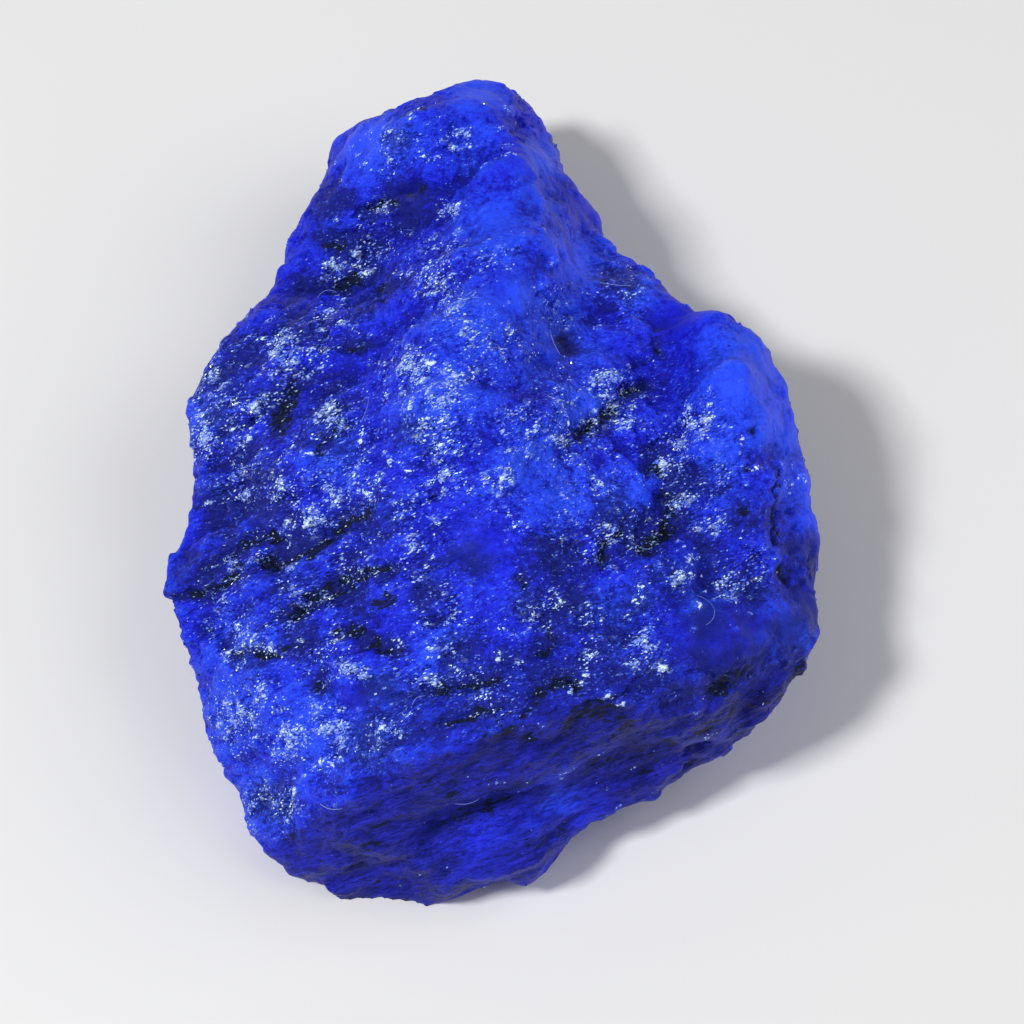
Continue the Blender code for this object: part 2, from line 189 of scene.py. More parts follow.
# Smooth, deep-coloured patches, with little grain: (radius, across, up the sheet).
SMOOTH = [
    (1.8, -0.6, 3.0), (2.6, 15.4, -3.2), (2.0, 18.4, -3.2), (1.6, 0.8, 21.5), (1.6, 6.5, 24.5),
    (1.4, 17.8, 14.5), (1.3, -9.5, -8.0), (1.8, 21.2, -2.6), (1.8, -10.6, 34.6), (2.6, -1.2, 38.6),
    (2.8, 3.8, 33.0), (1.4, -6.5, 30.0), (1.4, 0.4, 28.0), (2.3, 20.2, 15.9), (2.3, 22.8, 12.4),
    (2.3, 23.8, 8.4), (2.6, 24.6, 3.6), (2.4, 24.2, -1.4), (2.0, 14.2, 20.8), (2.4, 7.4, 29.0),
]

# Paler powdery patches, partly painted light: (radius, across, up the sheet).
PALE_AND_LIT_PATCHES = [
    (3.4, -9.5, 34.2), (2.6, -1.2, 38.6), (1.8, 4.0, 33.7), (3.4, 0.1, 26.4), (3.6, -1.0, 19.1),
    (3.6, -3.4, 13.4), (2.4, 18.9, 17.8), (3.4, 17.5, 13.6), (2.2, 16.5, 9.1), (3.4, -18.7, -9.8),
    (3.4, -13.1, -11.0), (2.4, -16.9, -15.0), (2.4, -18.4, -4.4), (2.4, 22.0, -3.2),
    (1.5, -7.3, -7.4), (2.0, -11.3, 9.1), (1.8, 11.2, 22.3), (1.6, -21.6, 13.1), (2.0, -1.7, 34.2),
    (2.2, 3.5, 29.5), (3.4, 6.9, 24.7), (2.6, 3.4, 19.0), (2.6, 6.6, 13.2), (2.2, 2.7, 8.3),
    (2.6, 17.6, 17.1), (2.6, 19.9, 14.1), (2.4, 22.1, 10.6), (2.2, 9.0, 6.6), (1.8, -3.8, -4.5),
    (3.0, -19.2, -9.2), (2.0, -12.5, -8.9), (3.0, 5.0, 19.9), (3.0, 20.3, 16.5), (3.0, 20.2, 12.4),
    (2.8, 23.3, 6.2), (3.0, 2.6, 9.0), (2.8, 5.0, 6.6), (2.0, 4.8, -15.0), (2.0, 14.8, -1.0),
    (2.6, 2.6, 21.1), (2.4, 0.5, 25.5), (2.2, -3.2, 18.8), (1.8, -0.7, 39.4), (1.8, 4.1, 32.8),
    (1.6, -1.9, 32.4), (2.4, 19.1, 17.8), (2.0, 8.9, -1.8), (2.4, -19.0, -10.0), (2.2, 6.3, 17.4),
    (2.0, -9.2, -10.7), (1.8, 3.4, 15.6),
]

# Dark navy patches, partly painted shade: (radius, across, up the sheet).
NAVY_AND_SHADE_PATCHES = [
    (2.4, -7.0, 29.4), (2.8, -11.3, 26.1), (1.8, -14.6, 23.0), (2.8, -19.4, 17.7),
    (2.4, -16.4, 13.8), (3.0, -20.7, 6.9), (2.2, -22.9, 0.6), (3.6, -14.8, 1.4), (2.8, -13.8, -3.9),
    (2.4, -10.2, -1.0), (1.6, 10.8, -0.6), (2.0, -2.4, -4.4), (3.0, -18.8, 5.8), (2.4, 4.2, 2.0),
    (2.4, 13.9, 7.4), (2.8, 9.2, 4.7), (2.6, 23.1, 1.7), (4.0, -10.4, -18.2), (4.6, -3.8, -14.4),
    (4.5, 4.8, -10.2), (3.6, 12.3, -9.2), (4.8, 18.7, -8.4), (3.0, -0.8, -7.8), (3.6, -4.6, -20.7),
    (2.8, -14.8, 19.2), (2.8, -20.4, 12.3), (2.8, -17.2, 7.8), (2.6, -12.2, 12.6),
    (3.0, -19.1, 2.8), (2.4, -8.6, 23.0), (2.4, -13.1, 29.4), (2.4, -8.0, 4.9), (2.4, -4.4, -0.2),
    (2.8, 5.7, -1.4), (3.0, 8.0, -5.2), (2.8, 2.5, -6.4), (2.4, -4.7, -8.0), (2.6, -16.1, -16.6),
    (2.8, -4.5, -9.9), (2.8, -0.6, -8.2), (3.0, 3.4, -6.6), (2.2, 4.9, -3.1), (2.0, -1.4, 1.7),
    (2.4, -12.9, 27.0), (2.6, -18.2, 9.1), (2.4, -22.8, 14.9), (2.6, -16.7, 4.9), (2.6, 8.8, -5.2),
    (2.0, 13.8, 4.1), (2.4, -9.7, 20.7), (2.6, -12.3, 11.2), (2.6, -20.5, 15.8), (2.2, -21.5, 0.8),
    (2.4, 18.7, -0.7), (1.6, -7.1, 34.2), (2.0, 2.5, -1.0), (2.0, -16.8, -5.3), (2.0, -7.6, -6.9),
    (1.8, -5.6, 11.0), (1.8, -17.9, 0.9), (2.0, 10.2, 22.9), (2.2, 15.6, -2.4), (2.0, 0.1, -9.4),
    (2.2, 17.9, 5.2), (2.2, 15.0, 3.0), (2.0, 12.1, 1.3),
]

# Patches of painted glow, standing in for light that seeps through: (radius, across, up the sheet).
GLOW = [
    (3.6, 22.0, 13.0), (4.0, 24.0, 6.0), (3.0, 23.5, -1.5), (3.0, 5.0, -15.5), (3.0, -1.5, -17.5),
    (3.5, 9.5, 8.0), (4.0, 8.0, 24.0), (3.5, -0.5, 3.5), (2.2, 3.5, 38.0),
]

# Small pushes that true up the outline: (radius, place on the sheet, push to the right and up it).
NUDGES = [
    (4.6, (-13.2, -21.9), (-0.5, -2.1)), (4.4, (7.1, -17.6), (-0.8, 1.0)),
    (3.2, (18.9, -11.2), (0.5, -0.7)), (2.6, (22.4, -6.4), (-0.9, 0.3)),
    (1.3, (22.6, -5.1), (0.8, 0.0)), (4.0, (-22.7, 7.3), (1.4, 0.0)),
    (2.8, (-17.3, 22.6), (-1.2, 0.7)), (2.2, (-11.1, 37.1), (-0.4, 0.6)),
    (2.4, (-4.8, 39.2), (0.1, -0.9)), (2.4, (0.8, 40.5), (0.2, 0.5)),
    (2.6, (5.6, 31.6), (-0.5, -0.2)), (2.2, (8.8, 27.8), (0.6, 0.5)),
    (2.2, (12.8, 23.4), (0.4, 0.5)), (3.0, (-21.2, -10.5), (-0.7, 0.0)),
    (4.0, (24.2, 4.7), (0.4, 0.0)), (2.0, (-24.0, -1.0), (0.7, 0.0)),
]

# The crest above the fibrous front, as a line across the sheet.
FRONT_CREST = [
    (-16.7, -18.9), (-14.1, -17.3), (-11.5, -16.0), (-9.2, -13.4), (-5.3, -11.7), (-0.4, -9.9),
    (3.3, -8.6), (8.2, -7.9), (12.7, -8.3), (16.7, -7.6), (20.9, -6.1), (23.5, -4.0),
]

# Clumps of pale crystals: how many, their half lengths along, down and across the layers, their
# reach, and the scales of the small and the large ones.
CLUMPS = 950
CLUMP_SIZE = (0.40, 0.28, 0.16)
CLUMP_REACH = 1.3
SMALL_SHARE = 0.85
SMALL_CLUMPS = (0.45, 1.0)
LARGE_CLUMPS = (1.0, 1.7)

# Colours, as linear red, green and blue.
# Deep blue in the hollows and royal blue on the crests are partly painted shade and highlight.
DEEP_BLUE = (0.006, 0.007, 0.38, 1.0)
ROYAL_BLUE = (0.013, 0.020, 0.70, 1.0)
# The powdery blues also paint highlight on the crests and where the stone is lit.
POWDER_AND_HIGHLIGHT_BLUE = (0.020, 0.072, 0.92, 1.0)
PALE_POWDER_AND_HIGHLIGHT = (0.090, 0.160, 0.92, 1.0)
FROST_BLUE = (0.095, 0.20, 0.84, 1.0)
# As specks in the stone's colour, the white also paints glints.
CRYSTAL_WHITE = (0.74, 0.93, 1.0, 1.0)
# Navy also paints shade in the hollows and the dark patches.
NAVY = (0.007, 0.011, 0.17, 1.0)
# Pit blue sits in the bump's low spots, partly painted shade.
PIT_AND_SHADE_BLUE = (0.003, 0.006, 0.14, 1.0)
# The fibrous front's colours are partly painted shade, as the front faces away from the light.
FIBRE_SHADE_DARK = (0.006, 0.007, 0.14, 1.0)
FIBRE_SHADE_BLUE = (0.017, 0.020, 0.42, 1.0)
SPECULAR_BLUE = (0.32, 0.40, 1.0, 1.0)
UNLIT = (0.0, 0.0, 0.0, 1.0)
MINERAL_BLACK = (0.0045, 0.007, 0.014, 1.0)
LINT_BLUE = (0.32, 0.42, 0.85, 1.0)
FLOOR_WHITE = (0.70, 0.70, 0.70, 1.0)
STUDIO_WHITE = (1.0, 1.0, 1.0, 1.0)

# The material's patterns: how far each is drawn out along, down and across the layers.
GRAIN_STREAK = (1.3, 0.9, 0.36)
MOTTLE_STREAK = (4.0, 3.0, 1.1)
FIBRE_STREAK = (1.5, 1.1, 0.22)
CRYSTAL_STRETCH = (1.6, 1.25, 0.8)

# The widths of the crystal faces in the materials, and the finish.
COARSE_CRYSTAL = 0.26
FINE_CRYSTAL = 0.118
GLINT_FACE = 0.19
GRAIN_FACE = 0.12
BUMP_HEIGHT = 0.3
# The strength of the painted glow.
PAINTED_GLOW_STRENGTH = 0.22
STONE_SPECULAR = 0.25
GRAIN_ROUGHNESS = 0.18
CORUNDUM_IOR = 1.77


# ---- Fields on the skin


def eased(values, low, high):
    """0 below low, 1 above high, and a smooth rise between them."""
    share = np.clip((values - low) / (high - low), 0.0, 1.0)
    return share * share * (3.0 - 2.0 * share)


def clouds(points, size, octaves, shift=0.0):
    """Fractal noise, about -1 to 1, with features about one size across. A shift makes it another."""
    rows = (points / size + shift).tolist()
    return np.array([noise.fractal(row, 0.9, 2.0, octaves) for row in rows])


def layered(points):
    """Each point's place along the layers' line, along their slope and across them."""
    return np.stack([points @ LAYER_LINE, points @ LAYER_SLOPE, points @ LAYER_NORMAL], axis=1)


def scatter_distance(points):
    """How far each point lies from the nearest of a random scatter about one unit apart."""
    return np.array([noise.voronoi(row)[0][0] for row in points.tolist()])


def facets(points, sizes, tilt):
    """Relief of broken facets: each cell of the skin tilts its own way, so low steps run between."""
    sizes = np.array(sizes)
    scaled = layered(points) / sizes
    cells = np.array([noise.voronoi(row)[1][0] for row in scaled.tolist()])
    tilts = np.array([noise.cell_vector(row) for row in (cells * CELL_SPREAD).tolist()]) * 2.0 - 1.0
    return tilt * sizes[2] * ((scaled - cells) * tilts).sum(axis=1)


def on_sheet(points):
    offset = points - SHEET_HOME
    return np.stack([offset[:, 0], offset @ SHEET_UP], axis=1)


def line_distance(places, line):
    """How far each place on the sheet lies from a line through several points."""
    line = np.array(line)
    nearest = np.full(len(places), np.inf)
    for start, end in zip(line, line[1:]):
        step = end - start
        share = np.clip((places - start) @ step / (step @ step), 0.0, 1.0)
        foot = start + share[:, None] * step
        nearest = np.minimum(nearest, np.linalg.norm(places - foot, axis=1))
    return nearest


def closeness(distance, reach):
    """1 at no distance, falling away smoothly over the reach."""
    return np.exp(-((distance / reach) ** 2))


def patches(places, spots, spread=1.0):
    """How far inside the listed round patches each place is, from 0 to 1."""
    inside = np.zeros(len(places))
    for radius, *centre in spots:
        distance = np.linalg.norm(places - np.array(centre), axis=1)
        inside = np.maximum(inside, closeness(distance, radius * spread))
    return inside


def streaks(places, lines, spread=1.0):
    """How far inside the listed streaks each place is, from 0 to 1."""
    inside = np.zeros(len(places))
    for half_width, line in lines:
        distance = line_distance(places, line)
        inside = np.maximum(inside, closeness(distance, half_width * spread))
    return inside


def clump_field(points, chance, count, seed):
    """Small long clumps, laid along the layers, at random places where the chance is high."""
    rng = np.random.default_rng(seed)
    tree = kdtree.KDTree(len(points))
    for index, point in enumerate(points):
        tree.insert(point, index)
    tree.balance()
    field = np.zeros(len(points))
    spots = layered(points)
    for seat in rng.choice(len(points), count, p=chance / chance.sum()):
        scale = rng.uniform(*(SMALL_CLUMPS if rng.random() < SMALL_SHARE else LARGE_CLUMPS))
        near = np.array([index for _, index, _ in tree.find_range(points[seat], CLUMP_REACH * scale)])
        offset = (spots[near] - spots[seat]) / (np.array(CLUMP_SIZE) * scale)
        field[near] = np.maximum(field[near], np.exp(-(offset**2).sum(axis=1)))
    return field


# ---- The fine skin


def remeshed(mesh, step):
    """A copy of the mesh with even faces about one step wide, in millimetres."""
    copy = bpy.data.objects.new("skin_source", mesh.copy())
    bpy.context.scene.collection.objects.link(copy)
    copy.data.transform(Matrix.Scale(1.0 / MM, 4))
    skin = copy.modifiers.new("skin", "REMESH")
    skin.mode = "VOXEL"
    skin.voxel_size = step
    shape = bmesh.new()
    shape.from_mesh(copy.evaluated_get(bpy.context.evaluated_depsgraph_get()).data)
    bpy.data.objects.remove(copy, do_unlink=True)
    return shape


def open_underside(shape):
    """Takes away the flat faces on the floor, which one face closes again later."""
    flat = [face for face in shape.faces if face.calc_center_median().z < FLOOR_BAND]
    bmesh.ops.delete(shape, geom=flat, context="FACES")


def nudged(points):
    """Pushes parts of the skin level with the floor, so that the outline runs where it should."""
    places = on_sheet(points)
    moved = points.copy()
    for radius, centre, (right, up) in NUDGES:
        share = closeness(np.linalg.norm(places - np.array(centre), axis=1), radius)
        moved[:, 0] += share * right
        moved[:, 1] += share * up / SHEET_UP[1]
    return moved


def edges_of(shape):
    shape.verts.index_update()
    return np.array([[vert.index for vert in edge.verts] for edge in shape.edges])


def smoothed(points, edges, rounds, held):
    """Moves every point that isn't held towards the middle of its neighbours."""
    ends = np.concatenate([edges, edges[:, ::-1]])
    count = np.bincount(ends[:, 0], minlength=len(points))[:, None]
    for _ in range(rounds):
        middle = np.zeros_like(points)
        np.add.at(middle, ends[:, 0], points[ends[:, 1]])
        points = np.where(held[:, None], points, 0.5 * points + 0.5 * middle / count)
    return points


def normals_of(shape, points):
    for vert, point in zip(shape.verts, points):
        vert.co = point
    shape.normal_update()
    return np.array([vert.normal for vert in shape.verts])


def masks_of(points, normals):
    """Where the skin is stained, frosted, smooth and layered: one value from 0 to 1 at each point."""
    # Some masks paint light and shade: dark patches and the brow paint shade, pale patches light, glow
    # a glow.
    places = on_sheet(points)
    shown = eased(normals @ SHEET_FACING, *SHEET_FADE)
    hidden = 1.0 - shown
    across = layered(points) / STAIN_BAND_SIZE
    bands = np.array([noise.fractal(row, 0.8, 2.0, 3) for row in across.tolist()])
    # The fibrous front lies below its crest.
    crest_line = np.array(FRONT_CREST)
    below = np.interp(places[:, 0], crest_line[:, 0], crest_line[:, 1]) - places[:, 1]
    front = shown * eased(below + 0.5 * clouds(points, 2.2, 3, 1.9), -0.3, 1.3)
    wide = clouds(points, 11.0, 2, 4.7)
    front = np.maximum(front, hidden * eased(clouds(points, 12.0, 2, 8.2), 0.0, 0.4))
    # Stains, navy mottles with painted shade and pale patches with painted light, which follow noise
    # where the sheet doesn't show the stone.
    wander = [0.6 * clouds(points, 1.1, 3, 5.9), 0.4 * clouds(points, 0.9, 3, 6.7)]
    ragged = places + np.stack(wander, axis=1)
    stain = shown * streaks(ragged, STAINS, 0.8) * (1.0 - 0.35 * front)
    stain = np.maximum(stain, eased(bands + 0.35 * wide, 0.42, 0.75) * (0.25 + 0.75 * hidden))
    navy_and_shade = shown * np.maximum(0.8 * streaks(places, STAINS, 2.6), patches(places, NAVY_AND_SHADE_PATCHES, 1.1))
    navy_and_shade = np.maximum(navy_and_shade, eased(bands + 0.7 * wide, 0.1, 0.8) * (0.25 + 0.55 * hidden))
    pale_and_lit = shown * patches(places, PALE_AND_LIT_PATCHES, 1.1)
    pale_and_lit = np.maximum(pale_and_lit, hidden * eased(clouds(points, 9.0, 2, 6.1), 0.05, 0.6))
    # Knots, sugar and frost.
    knots = 1.0 - eased(scatter_distance(layered(points) / KNOT_SIZE), 0.12, 0.62)
    crumbs = eased(clouds(points, 1.5, 3, 9.1), -0.5, 0.6)
    sugar = shown * patches(places, SUGAR) + hidden * eased(clouds(points, 5.0, 2, 3.3), -0.1, 0.5)
    caked = shown * patches(ragged, FROST, 1.15)
    frost = np.maximum(caked, sugar * (0.22 + 0.7 * crumbs))
    smooth = eased(normals @ SHEET_FACING, -0.5, 0.0) * patches(places, SMOOTH)
    smooth = np.maximum(smooth, hidden * eased(clouds(points, 8.0, 2, 2.3), 0.25, 0.6))
    # Layers show most on the low left and the front, and a brow of painted shade runs above the crest.
    left = eased(-places[:, 0], -2.0, 12.0) * (1.0 - eased(places[:, 1], 8.0, 24.0))
    layers = np.clip(0.12 + 0.7 * left + 0.8 * front + 0.3 * wide, 0.0, 1.0)
    brow_shade = shown * closeness(below + 1.8, 3.2) * eased(places[:, 0], -14.0, -8.0)
    navy_and_shade = np.maximum(navy_and_shade, brow_shade)
    frost = frost * (1.0 - 0.7 * smooth) * (1.0 - 0.85 * front) * (1.0 - 0.4 * brow_shade)
    frost = np.clip(frost, 0.0, 1.0)
    chance = 0.004 + (caked**2 + 0.3 * frost**2) * eased(knots, 0.0, 0.5)
    clump = clump_field(points, chance, CLUMPS, SEED + 2)
    return {
        "front": front,
        "clump": np.maximum(clump, 0.7 * shown * patches(ragged, CRYSTALS, 0.9)),
        "stain": np.clip(stain, 0.0, 1.0),
        "navy_and_shade": np.clip(navy_and_shade, 0.0, 1.0),
        "pale_and_lit": np.clip(pale_and_lit, 0.0, 1.0),
        "knots": knots,
        "glow": shown * patches(places, GLOW),
        "rims": shown * (streaks(ragged, STAINS, 3.2) - streaks(ragged, STAINS, 1.7)),
        "frost": frost,
        "smooth": np.clip(smooth, 0.0, 1.0),
        "turn": closeness(normals @ SHEET_FACING, 0.3),
        "layers": layers,
    }


def ledges(points):
    """Broken ledges along the layers, from 0 to 1: each swells slowly and ends in a sharp lip."""
    wander = 0.55 * clouds(points, 6.0, 3, 3.1)
    place = (points @ LAYER_NORMAL + wander) / LEDGE_PITCH
    share = place - np.floor(place)
    lip = eased(share, 0.0, 0.7) * (1.0 - eased(share, 0.82, 1.0))
    stretched = layered(points) / LEDGE_SIZE
    present = np.array([noise.noise(row) for row in stretched.tolist()])
    return lip * eased(present, -0.25, 0.45)


def layer_lines(points):
    """Fine lines along the layers, about -1 to 1."""
    stretched = layered(points) / LAYER_LINE_SIZE
    return np.array([noise.fractal(row, 0.9, 2.0, 2) for row in stretched.tolist()])


def relief_of(points, masks, jitter):
    """The height of the fine relief at each point, in millimetres."""
    rough = (1.0 - 0.65 * masks["smooth"]) * (1.0 - 0.4 * masks["pale_and_lit"]) * (1.0 - 0.5 * masks["turn"])
    height = SWELL_HEIGHT * clouds(points, 5.0, 3, 7.7)
    height += LUMP_HEIGHT * rough * clouds(points, 1.7, 4)
    height += LEDGE_HEIGHT * rough * masks["layers"] * ledges(points)
    height += LAYER_LINE_HEIGHT * rough * masks["layers"] * layer_lines(points)
    broken = rough * (1.0 - 0.7 * masks["front"])
    height += broken * facets(points, WIDE_FACETS, 0.30)
    height += broken * facets(points, NARROW_FACETS, 0.24)
    height += CLUMP_HEIGHT * masks["clump"]
    height += RIM_HEIGHT * masks["rims"] - STAIN_DEPTH * masks["stain"]
    height += KNOT_HEIGHT * rough * np.maximum(masks["frost"], 0.4 * masks["navy_and_shade"]) * masks["knots"]
    pits = 1.0 - eased(scatter_distance(points / PIT_PITCH), 0.04, 0.30)
    height -= PIT_DEPTH * rough * pits
    height += masks["frost"] * (SUGAR_HEIGHT * clouds(points, 0.6, 2, 5.5) + SUGAR_JITTER * jitter)
    return height


def store(mesh, name, values):
    """Keeps a value for each point on the mesh, for its material to read."""
    stored = mesh.attributes.new(name, "FLOAT", "POINT")
    stored.data.foreach_set("value", values.astype(np.float32))


def build_skin(source):
    """The stone's fine skin, with its masks stored on it."""
    shape = remeshed(source.data, SKIN_STEP)
    open_underside(shape)
    rim = {vert for edge in shape.edges if edge.is_boundary for vert in edge.verts}
    for vert in rim:
        vert.co.z = 0.0
    edges = edges_of(shape)
    held = np.array([vert in rim for vert in shape.verts])
    points = nudged(np.array([vert.co for vert in shape.verts]))
    points = smoothed(points, edges, WEAR_ROUNDS, held)
    normals = normals_of(shape, points)
    masks = masks_of(points, normals)
    jitter = np.random.default_rng(SEED).uniform(-1.0, 1.0, len(points))
    fade = eased(points[:, 2], 0.0, RIM_FADE)
    height = relief_of(points, masks, jitter) * fade
    worn = smoothed(points, edges, CREST_ROUNDS, held)
    proud = ((points - worn) * normals).sum(axis=1)
    # How far each point stands proud: the material paints shade in the hollows and highlight on the
    # crests.
    masks["crest"] = np.clip(0.5 + 1.6 * proud + 0.6 * height, 0.0, 1.0)
    points = points + normals * height[:, None]
    points[:, 2] = np.maximum(points[:, 2], 0.0)
    for vert, point in zip(shape.verts, points):
        vert.co = point * MM
    base = bmesh.ops.edgenet_fill(shape, edges=[edge for edge in shape.edges if edge.is_boundary])
    bmesh.ops.triangulate(shape, faces=base["faces"])
    bmesh.ops.recalc_face_normals(shape, faces=shape.faces)
    mesh = bpy.data.meshes.new("stone_skin")
    shape.to_mesh(mesh)
    shape.free()
    for name, values in masks.items():
        store(mesh, name, values)
    shade_skin(mesh, masks)
    skin = bpy.data.objects.new("stone_skin", mesh)
    bpy.context.scene.collection.objects.link(skin)
    return skin, masks


def shade_skin(mesh, masks):
    """Sugary faces are shaded flat, and smooth ones round."""
    corners = [face.vertices[0] for face in mesh.polygons]
    mesh.polygons.foreach_set("use_smooth", (masks["frost"][corners] < FLAT_SHADED_FROST).tolist())


# ---- Materials


def add_node(tree, kind, inputs=None, **settings):
    """Adds a node. An input is a number, a colour or another node's socket."""
    node = tree.nodes.new(kind)
    for name, value in settings.items():
        setattr(node, name, value)
    for key, value in (inputs or {}).items():
        if isinstance(value, bpy.types.NodeSocket):
            tree.links.new(value, node.inputs[key])
        else:
            node.inputs[key].default_value = value
    return node


def maths(tree, operation, first, second, clamp=False):
    node = add_node(tree, "ShaderNodeMath", {0: first, 1: second}, operation=operation, use_clamp=clamp)
    return node.outputs[0]


def plus(tree, first, second):
    return maths(tree, "ADD", first, second)


def minus(tree, first, second, clamp=False):
    return maths(tree, "SUBTRACT", first, second, clamp)


def times(tree, first, second):
    return maths(tree, "MULTIPLY", first, second)


def weighted(tree, *terms):
    """The sum of several values, each times its weight."""
    total = None
    for value, weight in terms:
        term = times(tree, value, weight)
        total = plus(tree, total, term) if total else term
    return total


def vector_maths(tree, operation, inputs, output="Vector"):
    return add_node(tree, "ShaderNodeVectorMath", inputs, operation=operation).outputs[output]


def ramp(tree, value, low, high):
    """0 below low, 1 above high, and a smooth rise between them."""
    settings = {"Value": value, "From Min": low, "From Max": high}
    node = add_node(tree, "ShaderNodeMapRange", settings, interpolation_type="SMOOTHSTEP")
    return node.outputs["Result"]


def blend(tree, share, first, second):
    """The first colour where the share is 0, and the second where it is 1."""
    node = add_node(tree, "ShaderNodeMix", {0: share, 6: first, 7: second}, data_type="RGBA")
    return node.outputs[2]


def mask(tree, name):
    return add_node(tree, "ShaderNodeAttribute", attribute_name=name).outputs["Fac"]


def millimetres(tree):
    """The place on the object, in millimetres."""
    place = add_node(tree, "ShaderNodeTexCoord").outputs["Object"]
    return vector_maths(tree, "SCALE", {0: place, "Scale": 1.0 / MM})


def mixed(tree, share, first, second):
    """The first value where the share is 0, and the second where it is 1."""
    node = add_node(tree, "ShaderNodeMix", {0: share, 2: first, 3: second}, data_type="FLOAT")
    return node.outputs[0]


def texture(tree, place, size, detail, roughness=0.5, distortion=0.0):
    """Noise with features about one size across, from 0 to 1."""
    settings = {"Vector": place, "Scale": 1.0 / size, "Detail": detail}
    settings.update({"Roughness": roughness, "Distortion": distortion})
    return add_node(tree, "ShaderNodeTexNoise", settings).outputs["Fac"]


def along_layers(tree, place, sizes):
    """The place in the layers' own directions, divided by one size for each."""
    shares = []
    for direction, size in zip((LAYER_LINE, LAYER_SLOPE, LAYER_NORMAL), sizes):
        settings = {0: place, 1: tuple(direction / size)}
        shares.append(vector_maths(tree, "DOT_PRODUCT", settings, output="Value"))
    return add_node(tree, "ShaderNodeCombineXYZ", dict(enumerate(shares))).outputs[0]


def crystal_facets_group():
    """A node group of small crystals: the tilted normal of each, and two random tones for each."""
    tree = bpy.data.node_groups.new("crystal_facets", "ShaderNodeTree")
    for name in ("Size", "Tilt"):
        tree.interface.new_socket(name, in_out="INPUT", socket_type="NodeSocketFloat")
    tree.interface.new_socket("Normal", in_out="OUTPUT", socket_type="NodeSocketVector")
    for name in ("Tone", "Second Tone"):
        tree.interface.new_socket(name, in_out="OUTPUT", socket_type="NodeSocketFloat")
    given = add_node(tree, "NodeGroupInput")
    scale = maths(tree, "DIVIDE", 1.0, given.outputs["Size"])
    place = along_layers(tree, millimetres(tree), CRYSTAL_STRETCH)
    middle = (0.5, 0.5, 0.5)
    swirl = add_node(tree, "ShaderNodeTexNoise", {"Vector": place, "Scale": times(tree, scale, 0.8)})
    bend = vector_maths(tree, "SUBTRACT", {0: swirl.outputs["Color"], 1: middle})
    bend = vector_maths(tree, "SCALE", {0: bend, "Scale": given.outputs["Size"]})
    bent = vector_maths(tree, "ADD", {0: place, 1: bend})
    cells = add_node(tree, "ShaderNodeTexVoronoi", {"Vector": bent, "Scale": scale})
    around = vector_maths(tree, "SUBTRACT", {0: cells.outputs["Color"], 1: middle})
    tilt = vector_maths(tree, "SCALE", {0: around, "Scale": given.outputs["Tilt"]})
    flat = add_node(tree, "ShaderNodeNewGeometry").outputs["Normal"]
    tilted = vector_maths(tree, "ADD", {0: flat, 1: tilt})
    unit = vector_maths(tree, "NORMALIZE", {0: tilted})
    tones = add_node(tree, "ShaderNodeSeparateColor", {0: cells.outputs["Color"]})
    result = add_node(tree, "NodeGroupOutput")
    tree.links.new(unit, result.inputs["Normal"])
    tree.links.new(tones.outputs[0], result.inputs["Tone"])
    tree.links.new(tones.outputs[1], result.inputs["Second Tone"])
    return tree


def crystal_facets(tree, group, size, tilt):
    return add_node(tree, "ShaderNodeGroup", {"Size": size, "Tilt": tilt}, node_tree=group).outputs


def new_material(name):
    material = bpy.data.materials.new(name)
    material.use_nodes = True
    return material, material.node_tree, material.node_tree.nodes["Principled BSDF"]


